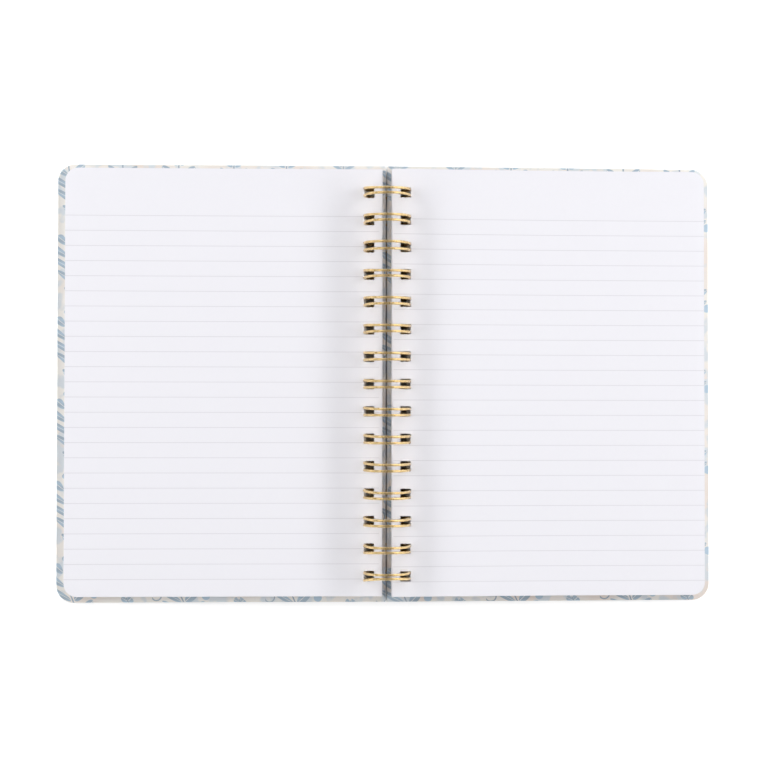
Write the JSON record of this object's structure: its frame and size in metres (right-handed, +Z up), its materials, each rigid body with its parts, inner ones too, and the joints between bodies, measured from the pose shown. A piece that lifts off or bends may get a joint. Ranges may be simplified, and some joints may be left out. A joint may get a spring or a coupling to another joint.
{
  "type": "open notebook bound with twin-loop wire",
  "caption": "Open ruled notebook: two wrapped hard covers and two stacks of leaves that turn on a closed twin-loop wire binding.",
  "frame": {"origin": "on the table, under the middle of the open book", "axes": "+X from the left fore-edge to the right fore-edge, +Y from tail to head along the wire, +Z up"},
  "size_m": [0.3046, 0.2028, 0.022],
  "materials": {
    "wire": "bright gold-coloured coating on round wire",
    "board": "grey binder's board, seen only in the walls of the punched holes",
    "cover_paper": "smooth printed paper, blue-grey leaf pattern on ivory",
    "liner_paper": "matt plain paper",
    "leaf_paper": "matt white writing paper with fine grey ruling"
  },
  "bodies": {
    "binding": {"twin_loop_wire": "wire"},
    "front_cover": {"front_board": "board", "front_wrap": "cover_paper", "front_liner": "liner_paper"},
    "left_stack": {"left_leaves": "leaf_paper"},
    "back_cover": {"back_board": "board", "back_wrap": "cover_paper", "back_liner": "liner_paper"},
    "right_stack": {"right_leaves": "leaf_paper"}
  },
  "joints": [
    {"name": "front_cover_turn", "type": "hinge", "parent": "binding", "child": "front_cover", "pos_m": [0, 0, 0.011], "axis": [0, 1, 0], "range_deg": [0, 181]},
    {"name": "left_stack_turn", "type": "hinge", "parent": "front_cover", "child": "left_stack", "pos_m": [0, 0, 0.011], "axis": [0, -1, 0], "range_deg": [-180, 0]},
    {"name": "back_cover_turn", "type": "hinge", "parent": "binding", "child": "back_cover", "pos_m": [0, 0, 0.011], "axis": [0, -1, 0], "range_deg": [0, 181]},
    {"name": "right_stack_turn", "type": "hinge", "parent": "back_cover", "child": "right_stack", "pos_m": [0, 0, 0.011], "axis": [0, 1, 0], "range_deg": [-180, 0]}
  ]
}
